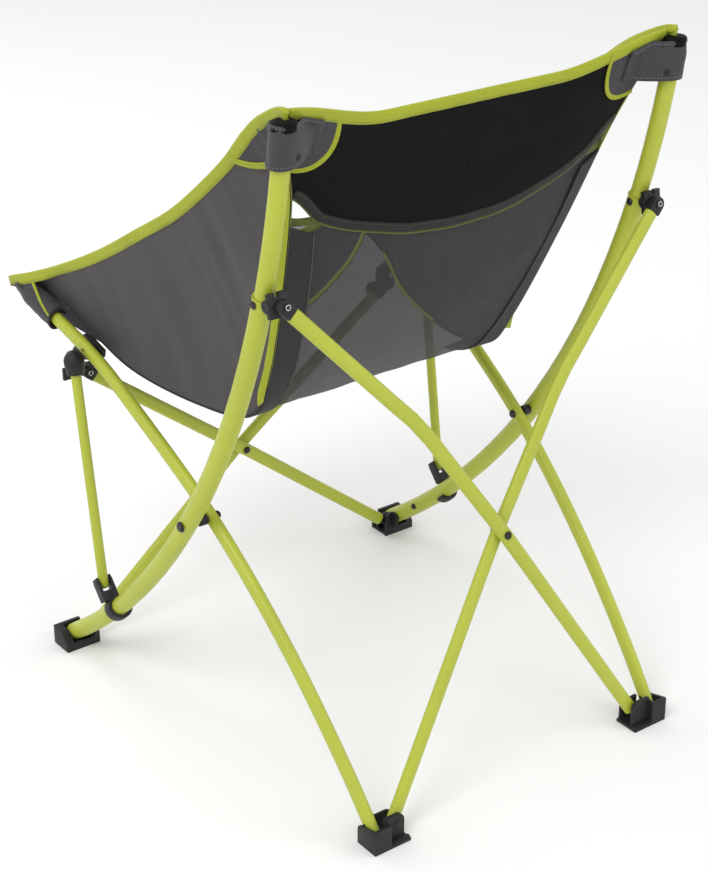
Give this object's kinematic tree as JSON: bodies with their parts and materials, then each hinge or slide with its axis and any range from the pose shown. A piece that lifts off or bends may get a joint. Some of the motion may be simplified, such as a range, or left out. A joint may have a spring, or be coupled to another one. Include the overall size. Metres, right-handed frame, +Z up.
{
  "type": "folding camp chair",
  "caption": "Folding bucket camp chair: fabric sling on curved uprights, scissor side legs and crossed front and rear tubes.",
  "frame": {"origin": "middle of the chair's box, on the floor, with the chair open", "axes": "+Z up, the sitter faces -Y, +X is the sitter's left"},
  "size_m": [0.544, 0.6554, 0.7887],
  "materials": {
    "powder_coat": "satin lime powder coat on steel tube",
    "plastic": "black moulded nylon",
    "rivets": "black rivet",
    "seat_fabric": "charcoal woven polyester",
    "back_fabric": "black woven polyester",
    "mesh_fabric": "grey open mesh",
    "pocket_fabric": "melange woven polyester"
  },
  "bodies": {
    "front_shoe_left": {"front_shoe_left": "plastic", "front_shoe_pin_left": "rivets"},
    "upright_left": {"upright_lower_left": "powder_coat", "upright_upper_left": "powder_coat", "upright_stop_rivet_left": "rivets", "sleeve_rivet_left": "rivets", "scissor_rivet_left": "rivets", "top_pocket_left": "pocket_fabric", "side_panel_left": "seat_fabric"},
    "leg_left": {"side_leg_left": "powder_coat", "scissor_spacer_left": "plastic", "front_pocket_left": "pocket_fabric"},
    "rear_shoe_left": {"rear_shoe_left": "plastic", "rear_shoe_pin_left": "rivets"},
    "rear_bracket_left": {"rear_bracket_left": "plastic", "rear_bracket_pin_left": "rivets", "rear_ring_rivet_left": "rivets"},
    "front_bracket_left": {"front_bracket_left": "plastic", "front_ring_rivet_left": "rivets"},
    "strut_clip_left": {"strut_clip_left": "plastic", "clip_pin_left": "rivets"},
    "strut_left": {"strut_left": "powder_coat", "strut_cap_left": "plastic"},
    "rear_cross_a": {"rear_tube_left": "powder_coat", "rear_fitting_left": "plastic", "rear_cross_rivet": "rivets"},
    "rear_cross_b": {"rear_tube_right": "powder_coat", "rear_fitting_right": "plastic", "rear_ring_rivet_right": "rivets"},
    "front_cross_a": {"front_tube_left": "powder_coat", "front_fitting_left": "plastic", "front_cross_rivet": "rivets"},
    "front_cross_b": {"front_tube_right": "powder_coat", "front_fitting_right": "plastic", "front_ring_rivet_right": "rivets"},
    "sling": {"back_panel": "back_fabric", "mesh_panel": "mesh_fabric"},
    "seat": {"seat_panel": "seat_fabric"},
    "upright_right": {"upright_lower_right": "powder_coat", "upright_upper_right": "powder_coat", "upright_stop_rivet_right": "rivets", "sleeve_rivet_right": "rivets", "scissor_rivet_right": "rivets", "top_pocket_right": "pocket_fabric", "side_panel_right": "seat_fabric"},
    "leg_right": {"side_leg_right": "powder_coat", "scissor_spacer_right": "plastic", "front_pocket_right": "pocket_fabric"},
    "rear_shoe_right": {"rear_shoe_right": "plastic", "rear_shoe_pin_right": "rivets"},
    "rear_bracket_right": {"rear_bracket_right": "plastic", "rear_bracket_pin_right": "rivets"},
    "front_bracket_right": {"front_bracket_right": "plastic"},
    "strut_clip_right": {"strut_clip_right": "plastic", "clip_pin_right": "rivets"},
    "strut_right": {"strut_right": "powder_coat", "strut_cap_right": "plastic"},
    "front_shoe_right": {"front_shoe_right": "plastic", "front_shoe_pin_right": "rivets"}
  },
  "joints": [
    {"name": "fold", "type": "hinge", "parent": "front_shoe_left", "child": "upright_left", "pos_m": [0.25, -0.23394, 0.01838], "axis": [1, 0, 0], "range_deg": [0, 20]},
    {"name": "scissor_left", "type": "hinge", "parent": "upright_left", "child": "leg_left", "pos_m": [0.236, 0.04217, 0.2875], "axis": [1, 0, 0], "range_deg": [-41.44, 0], "deforming": ["side_panel_left"]},
    {"name": "rear_shoe_turn_left", "type": "hinge", "parent": "leg_left", "child": "rear_shoe_left", "pos_m": [0.204, 0.30317, 0.023], "axis": [1, 0, 0], "range_deg": [0, 21.44]},
    {"name": "rear_bracket_turn_left", "type": "hinge", "parent": "upright_left", "child": "rear_bracket_left", "pos_m": [0.25, 0.21157, 0.5985], "axis": [1, 0, 0], "range_deg": [-21.25, 0]},
    {"name": "front_bracket_turn_left", "type": "hinge", "parent": "leg_left", "child": "front_bracket_left", "pos_m": [0.237, -0.18383, 0.412], "axis": [1, 0, 0], "range_deg": [0, 26.97]},
    {"name": "clip_travel_left", "type": "hinge", "parent": "upright_left", "child": "strut_clip_left", "pos_m": [0.25, -0.84863, 0.9178], "axis": [1, 0, 0], "range_deg": [0, 9.78]},
    {"name": "strut_turn_left", "type": "hinge", "parent": "strut_clip_left", "child": "strut_left", "pos_m": [0.256, -0.14733, 0.128], "axis": [1, 0, 0], "range_deg": [-9.73, 0]},
    {"name": "sling_half_shift", "type": "slide", "parent": "upright_left", "child": "sling", "axis": [1, 0, 0], "range_m": [0, 0.0946], "deforming": ["mesh_panel", "back_panel"]},
    {"name": "side_shift", "type": "slide", "parent": "sling", "child": "upright_right", "axis": [1, 0, 0], "range_m": [0, 0.0946]},
    {"name": "seat_crease", "type": "hinge", "parent": "sling", "child": "seat", "pos_m": [0, -0.02183, 0.362], "axis": [1, 0, 0], "range_deg": [-54.21, 0], "deforming": ["seat_panel"]},
    {"name": "front_shoe_turn_right", "type": "hinge", "parent": "upright_right", "child": "front_shoe_right", "pos_m": [-0.25, -0.23394, 0.01838], "axis": [1, 0, 0], "range_deg": [-20.01, 0]},
    {"name": "scissor_right", "type": "hinge", "parent": "upright_right", "child": "leg_right", "pos_m": [-0.236, 0.04217, 0.2875], "axis": [1, 0, 0], "range_deg": [-41.44, 0], "deforming": ["side_panel_right"]},
    {"name": "rear_shoe_turn_right", "type": "hinge", "parent": "leg_right", "child": "rear_shoe_right", "pos_m": [-0.204, 0.30317, 0.023], "axis": [1, 0, 0], "range_deg": [0, 21.44]},
    {"name": "rear_bracket_turn_right", "type": "hinge", "parent": "upright_right", "child": "rear_bracket_right", "pos_m": [-0.25, 0.21157, 0.5985], "axis": [1, 0, 0], "range_deg": [-21.25, 0]},
    {"name": "front_bracket_turn_right", "type": "hinge", "parent": "leg_right", "child": "front_bracket_right", "pos_m": [-0.237, -0.18383, 0.412], "axis": [1, 0, 0], "range_deg": [0, 26.97]},
    {"name": "clip_travel_right", "type": "hinge", "parent": "upright_right", "child": "strut_clip_right", "pos_m": [-0.25, -0.84863, 0.9178], "axis": [1, 0, 0], "range_deg": [0, 9.78]},
    {"name": "strut_turn_right", "type": "hinge", "parent": "strut_clip_right", "child": "strut_right", "pos_m": [-0.256, -0.14733, 0.128], "axis": [1, 0, 0], "range_deg": [-9.73, 0]},
    {"name": "rear_cross_top", "type": "hinge", "parent": "rear_bracket_left", "child": "rear_cross_a", "pos_m": [0.247, 0.22377, 0.5993], "axis": [0, 0.9897, 0.143], "range_deg": [-17.29, 0]},
    {"name": "rear_cross_middle", "type": "hinge", "parent": "rear_cross_a", "child": "rear_cross_b", "pos_m": [0, 0.26797, 0.293], "axis": [0, 0.9897, 0.143], "range_deg": [0, 34.56]},
    {"name": "front_cross_top", "type": "hinge", "parent": "front_bracket_left", "child": "front_cross_a", "pos_m": [0.2165, -0.22433, 0.3655], "axis": [0, 0.9999, -0.0162], "range_deg": [-25.8, 0]},
    {"name": "front_cross_middle", "type": "hinge", "parent": "front_cross_a", "child": "front_cross_b", "pos_m": [0, -0.22983, 0.2], "axis": [0, 0.9999, -0.0162], "range_deg": [0, 51.59]}
  ],
  "couplings": [
    {"joint": "scissor_left", "follows": "fold", "ratio": -2.0711},
    {"joint": "rear_shoe_turn_left", "follows": "fold", "ratio": 1.0711},
    {"joint": "rear_bracket_turn_left", "follows": "fold", "ratio": -1.062},
    {"joint": "front_bracket_turn_left", "follows": "fold", "ratio": 1.3479},
    {"joint": "clip_travel_left", "follows": "fold", "ratio": 0.48813},
    {"joint": "strut_turn_left", "follows": "fold", "ratio": -0.48594},
    {"joint": "sling_half_shift", "follows": "fold", "m_per_rad": 0.2707},
    {"joint": "side_shift", "follows": "fold", "m_per_rad": 0.2707},
    {"joint": "seat_crease", "follows": "fold", "ratio": -2.71},
    {"joint": "front_shoe_turn_right", "follows": "fold", "ratio": -1},
    {"joint": "scissor_right", "follows": "fold", "ratio": -2.0711},
    {"joint": "rear_shoe_turn_right", "follows": "fold", "ratio": 1.0711},
    {"joint": "rear_bracket_turn_right", "follows": "fold", "ratio": -1.062},
    {"joint": "front_bracket_turn_right", "follows": "fold", "ratio": 1.3479},
    {"joint": "clip_travel_right", "follows": "fold", "ratio": 0.48813},
    {"joint": "strut_turn_right", "follows": "fold", "ratio": -0.48594},
    {"joint": "rear_cross_top", "follows": "fold", "ratio": -0.86366},
    {"joint": "rear_cross_middle", "follows": "fold", "ratio": 1.7273},
    {"joint": "front_cross_top", "follows": "fold", "ratio": -1.2895},
    {"joint": "front_cross_middle", "follows": "fold", "ratio": 2.5789}
  ]
}
